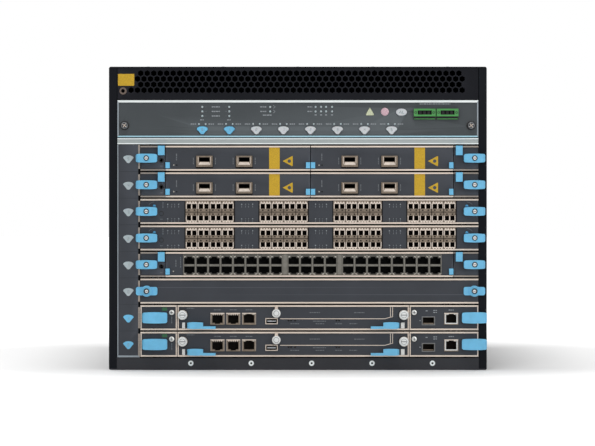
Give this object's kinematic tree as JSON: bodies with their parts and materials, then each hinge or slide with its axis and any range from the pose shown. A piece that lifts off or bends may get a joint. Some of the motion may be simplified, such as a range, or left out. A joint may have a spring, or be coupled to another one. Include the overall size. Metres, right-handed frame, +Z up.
{
  "type": "modular chassis switch",
  "caption": "Rack-size modular switch chassis with horizontal card slots, hinged card levers, a status panel, a honeycomb intake, a fan tray, an air filter and rear power supplies.",
  "frame": {"origin": "middle of the footprint, on the surface the chassis stands on", "axes": "+Z up, front panel faces -Y, +X to the right of someone facing the front"},
  "size_m": [0.441, 0.6436, 0.354],
  "materials": {
    "chassis_sheet": "satin powder coat",
    "card_face": "matt grey paint",
    "bare_steel": "plated",
    "blue_plastic": "satin moulded",
    "panel_grey": "matt grey paint",
    "green_plastic": "moulded",
    "white_plastic": "moulded",
    "board": "solder mask",
    "filter_media": "open foam"
  },
  "bodies": {
    "chassis": {"base_pan": "chassis_sheet", "left_side_panel": "chassis_sheet", "right_side_panel": "chassis_sheet", "top_cover": "chassis_sheet", "rear_bulkhead": "chassis_sheet", "intake_grille": "chassis_sheet", "power_deck": "bare_steel", "midplane": "board", "card_guides": "bare_steel", "craft_panel": "panel_grey", "slot_label_strip": "panel_grey", "alarm_terminals": "green_plastic"},
    "slot_button_1": {"slot_button_1": "blue_plastic"},
    "slot_button_2": {"slot_button_2": "blue_plastic"},
    "slot_button_3": {"slot_button_3": "white_plastic"},
    "slot_button_4": {"slot_button_4": "white_plastic"},
    "slot_button_5": {"slot_button_5": "white_plastic"},
    "slot_button_6": {"slot_button_6": "white_plastic"},
    "slot_button_7": {"slot_button_7": "white_plastic"},
    "slot_button_8": {"slot_button_8": "white_plastic"},
    "alarm_cutoff_button": {"alarm_cutoff_button": "white_plastic"},
    "slot5_card": {"slot5_card": "card_face"},
    "slot5_left_lever": {"slot5_left_lever": "blue_plastic"},
    "slot5_right_lever": {"slot5_right_lever": "blue_plastic"},
    "slot5_left_module": {"slot5_left_module": "card_face"},
    "slot5_right_module": {"slot5_right_module": "card_face"},
    "slot4_card": {"slot4_card": "card_face"},
    "slot4_left_lever": {"slot4_left_lever": "blue_plastic"},
    "slot4_right_lever": {"slot4_right_lever": "blue_plastic"},
    "slot4_left_module": {"slot4_left_module": "card_face"},
    "slot4_right_module": {"slot4_right_module": "card_face"},
    "slot3_card": {"slot3_card": "card_face"},
    "slot3_left_lever": {"slot3_left_lever": "blue_plastic"},
    "slot3_right_lever": {"slot3_right_lever": "blue_plastic"},
    "slot2_card": {"slot2_card": "card_face"},
    "slot2_left_lever": {"slot2_left_lever": "blue_plastic"},
    "slot2_right_lever": {"slot2_right_lever": "blue_plastic"},
    "slot1_card": {"slot1_card": "card_face"},
    "slot1_left_lever": {"slot1_left_lever": "blue_plastic"},
    "slot1_right_lever": {"slot1_right_lever": "blue_plastic"},
    "slot1_copper_module": {"slot1_copper_module": "card_face"},
    "slot0_blank_panel": {"slot0_blank_panel": "card_face"},
    "fabric1_card": {"fabric1_card": "card_face"},
    "fabric1_left_lever": {"fabric1_left_lever": "blue_plastic"},
    "fabric1_right_lever": {"fabric1_right_lever": "blue_plastic"},
    "fabric1_management_module": {"fabric1_management_module": "card_face"},
    "fabric1_left_ejector": {"fabric1_left_ejector": "blue_plastic"},
    "fabric1_right_ejector": {"fabric1_right_ejector": "blue_plastic"},
    "fabric0_card": {"fabric0_card": "card_face"},
    "fabric0_left_lever": {"fabric0_left_lever": "blue_plastic"},
    "fabric0_right_lever": {"fabric0_right_lever": "blue_plastic"},
    "fabric0_management_module": {"fabric0_management_module": "card_face"},
    "fabric0_left_ejector": {"fabric0_left_ejector": "blue_plastic"},
    "fabric0_right_ejector": {"fabric0_right_ejector": "blue_plastic"},
    "fan_tray": {"fan_tray": "chassis_sheet"},
    "air_filter": {"air_filter": "filter_media"},
    "power_supply_0": {"power_supply_0": "bare_steel"},
    "power_supply_1": {"power_supply_1": "bare_steel"},
    "power_supply_2": {"power_supply_2": "bare_steel"},
    "power_supply_3": {"power_supply_3": "bare_steel"}
  },
  "joints": [
    {"name": "slot_button_1_press", "type": "slide", "parent": "chassis", "child": "slot_button_1", "axis": [0, 1, 0], "range_m": [0, 0.0015], "stiffness_N_per_m": 300, "springref_m": -0.001},
    {"name": "slot_button_2_press", "type": "slide", "parent": "chassis", "child": "slot_button_2", "axis": [0, 1, 0], "range_m": [0, 0.0015], "stiffness_N_per_m": 300, "springref_m": -0.001},
    {"name": "slot_button_3_press", "type": "slide", "parent": "chassis", "child": "slot_button_3", "axis": [0, 1, 0], "range_m": [0, 0.0015], "stiffness_N_per_m": 300, "springref_m": -0.001},
    {"name": "slot_button_4_press", "type": "slide", "parent": "chassis", "child": "slot_button_4", "axis": [0, 1, 0], "range_m": [0, 0.0015], "stiffness_N_per_m": 300, "springref_m": -0.001},
    {"name": "slot_button_5_press", "type": "slide", "parent": "chassis", "child": "slot_button_5", "axis": [0, 1, 0], "range_m": [0, 0.0015], "stiffness_N_per_m": 300, "springref_m": -0.001},
    {"name": "slot_button_6_press", "type": "slide", "parent": "chassis", "child": "slot_button_6", "axis": [0, 1, 0], "range_m": [0, 0.0015], "stiffness_N_per_m": 300, "springref_m": -0.001},
    {"name": "slot_button_7_press", "type": "slide", "parent": "chassis", "child": "slot_button_7", "axis": [0, 1, 0], "range_m": [0, 0.0015], "stiffness_N_per_m": 300, "springref_m": -0.001},
    {"name": "slot_button_8_press", "type": "slide", "parent": "chassis", "child": "slot_button_8", "axis": [0, 1, 0], "range_m": [0, 0.0015], "stiffness_N_per_m": 300, "springref_m": -0.001},
    {"name": "alarm_cutoff_button_press", "type": "slide", "parent": "chassis", "child": "alarm_cutoff_button", "axis": [0, 1, 0], "range_m": [0, 0.0015], "stiffness_N_per_m": 300, "springref_m": -0.001},
    {"name": "slot5_card_slide", "type": "slide", "parent": "chassis", "child": "slot5_card", "axis": [0, -1, 0], "range_m": [0, 0.48]},
    {"name": "slot5_left_lever_hinge", "type": "hinge", "parent": "slot5_card", "child": "slot5_left_lever", "pos_m": [-0.1844, -0.3165, 0.2471], "axis": [0, 0, -1], "range_deg": [0, 60]},
    {"name": "slot5_right_lever_hinge", "type": "hinge", "parent": "slot5_card", "child": "slot5_right_lever", "pos_m": [0.2139, -0.3165, 0.2471], "axis": [0, 0, 1], "range_deg": [0, 60]},
    {"name": "slot4_card_slide", "type": "slide", "parent": "chassis", "child": "slot4_card", "axis": [0, -1, 0], "range_m": [0, 0.48]},
    {"name": "slot4_left_lever_hinge", "type": "hinge", "parent": "slot4_card", "child": "slot4_left_lever", "pos_m": [-0.1844, -0.3165, 0.2161], "axis": [0, 0, -1], "range_deg": [0, 60]},
    {"name": "slot4_right_lever_hinge", "type": "hinge", "parent": "slot4_card", "child": "slot4_right_lever", "pos_m": [0.2139, -0.3165, 0.2161], "axis": [0, 0, 1], "range_deg": [0, 60]},
    {"name": "slot3_card_slide", "type": "slide", "parent": "chassis", "child": "slot3_card", "axis": [0, -1, 0], "range_m": [0, 0.48]},
    {"name": "slot3_left_lever_hinge", "type": "hinge", "parent": "slot3_card", "child": "slot3_left_lever", "pos_m": [-0.1844, -0.3165, 0.1851], "axis": [0, 0, -1], "range_deg": [0, 60]},
    {"name": "slot3_right_lever_hinge", "type": "hinge", "parent": "slot3_card", "child": "slot3_right_lever", "pos_m": [0.2139, -0.3165, 0.1851], "axis": [0, 0, 1], "range_deg": [0, 60]},
    {"name": "slot2_card_slide", "type": "slide", "parent": "chassis", "child": "slot2_card", "axis": [0, -1, 0], "range_m": [0, 0.48]},
    {"name": "slot2_left_lever_hinge", "type": "hinge", "parent": "slot2_card", "child": "slot2_left_lever", "pos_m": [-0.1844, -0.3165, 0.1541], "axis": [0, 0, -1], "range_deg": [0, 60]},
    {"name": "slot2_right_lever_hinge", "type": "hinge", "parent": "slot2_card", "child": "slot2_right_lever", "pos_m": [0.2139, -0.3165, 0.1541], "axis": [0, 0, 1], "range_deg": [0, 60]},
    {"name": "slot1_card_slide", "type": "slide", "parent": "chassis", "child": "slot1_card", "axis": [0, -1, 0], "range_m": [0, 0.48]},
    {"name": "slot1_left_lever_hinge", "type": "hinge", "parent": "slot1_card", "child": "slot1_left_lever", "pos_m": [-0.1844, -0.3165, 0.1231], "axis": [0, 0, -1], "range_deg": [0, 60]},
    {"name": "slot1_right_lever_hinge", "type": "hinge", "parent": "slot1_card", "child": "slot1_right_lever", "pos_m": [0.2139, -0.3165, 0.1231], "axis": [0, 0, 1], "range_deg": [0, 60]},
    {"name": "slot5_left_module_slide", "type": "slide", "parent": "slot5_card", "child": "slot5_left_module", "axis": [0, -1, 0], "range_m": [0, 0.178]},
    {"name": "slot5_right_module_slide", "type": "slide", "parent": "slot5_card", "child": "slot5_right_module", "axis": [0, -1, 0], "range_m": [0, 0.178]},
    {"name": "slot4_left_module_slide", "type": "slide", "parent": "slot4_card", "child": "slot4_left_module", "axis": [0, -1, 0], "range_m": [0, 0.178]},
    {"name": "slot4_right_module_slide", "type": "slide", "parent": "slot4_card", "child": "slot4_right_module", "axis": [0, -1, 0], "range_m": [0, 0.178]},
    {"name": "slot1_copper_module_slide", "type": "slide", "parent": "slot1_card", "child": "slot1_copper_module", "axis": [0, -1, 0], "range_m": [0, 0.178]},
    {"name": "slot0_blank_panel_slide", "type": "slide", "parent": "chassis", "child": "slot0_blank_panel", "axis": [0, -1, 0], "range_m": [0, 0.05]},
    {"name": "fabric1_card_slide", "type": "slide", "parent": "chassis", "child": "fabric1_card", "axis": [0, -1, 0], "range_m": [0, 0.48]},
    {"name": "fabric1_left_lever_hinge", "type": "hinge", "parent": "fabric1_card", "child": "fabric1_left_lever", "pos_m": [-0.1769, -0.3165, 0.0611], "axis": [0, 0, -1], "range_deg": [0, 60]},
    {"name": "fabric1_right_lever_hinge", "type": "hinge", "parent": "fabric1_card", "child": "fabric1_right_lever", "pos_m": [0.2159, -0.3165, 0.0611], "axis": [0, 0, 1], "range_deg": [0, 60]},
    {"name": "fabric1_management_module_slide", "type": "slide", "parent": "fabric1_card", "child": "fabric1_management_module", "axis": [0, -1, 0], "range_m": [0, 0.228]},
    {"name": "fabric1_left_ejector_hinge", "type": "hinge", "parent": "fabric1_management_module", "child": "fabric1_left_ejector", "pos_m": [-0.1252, -0.317, 0.0521], "axis": [0, 0, -1], "range_deg": [0, 60]},
    {"name": "fabric1_right_ejector_hinge", "type": "hinge", "parent": "fabric1_management_module", "child": "fabric1_right_ejector", "pos_m": [0.1144, -0.317, 0.0521], "axis": [0, 0, 1], "range_deg": [0, 60]},
    {"name": "fabric0_card_slide", "type": "slide", "parent": "chassis", "child": "fabric0_card", "axis": [0, -1, 0], "range_m": [0, 0.48]},
    {"name": "fabric0_left_lever_hinge", "type": "hinge", "parent": "fabric0_card", "child": "fabric0_left_lever", "pos_m": [-0.1769, -0.3165, 0.0301], "axis": [0, 0, -1], "range_deg": [0, 60]},
    {"name": "fabric0_right_lever_hinge", "type": "hinge", "parent": "fabric0_card", "child": "fabric0_right_lever", "pos_m": [0.2159, -0.3165, 0.0301], "axis": [0, 0, 1], "range_deg": [0, 60]},
    {"name": "fabric0_management_module_slide", "type": "slide", "parent": "fabric0_card", "child": "fabric0_management_module", "axis": [0, -1, 0], "range_m": [0, 0.228]},
    {"name": "fabric0_left_ejector_hinge", "type": "hinge", "parent": "fabric0_management_module", "child": "fabric0_left_ejector", "pos_m": [-0.1252, -0.317, 0.0211], "axis": [0, 0, -1], "range_deg": [0, 60]},
    {"name": "fabric0_right_ejector_hinge", "type": "hinge", "parent": "fabric0_management_module", "child": "fabric0_right_ejector", "pos_m": [0.1144, -0.317, 0.0211], "axis": [0, 0, 1], "range_deg": [0, 60]},
    {"name": "fan_tray_slide", "type": "slide", "parent": "chassis", "child": "fan_tray", "axis": [0, 1, 0], "range_m": [0, 0.56]},
    {"name": "air_filter_slide", "type": "slide", "parent": "chassis", "child": "air_filter", "axis": [0, 1, 0], "range_m": [0, 0.56]},
    {"name": "power_supply_0_slide", "type": "slide", "parent": "chassis", "child": "power_supply_0", "axis": [0, 1, 0], "range_m": [0, 0.32]},
    {"name": "power_supply_1_slide", "type": "slide", "parent": "chassis", "child": "power_supply_1", "axis": [0, 1, 0], "range_m": [0, 0.32]},
    {"name": "power_supply_2_slide", "type": "slide", "parent": "chassis", "child": "power_supply_2", "axis": [0, 1, 0], "range_m": [0, 0.32]},
    {"name": "power_supply_3_slide", "type": "slide", "parent": "chassis", "child": "power_supply_3", "axis": [0, 1, 0], "range_m": [0, 0.32]}
  ]
}
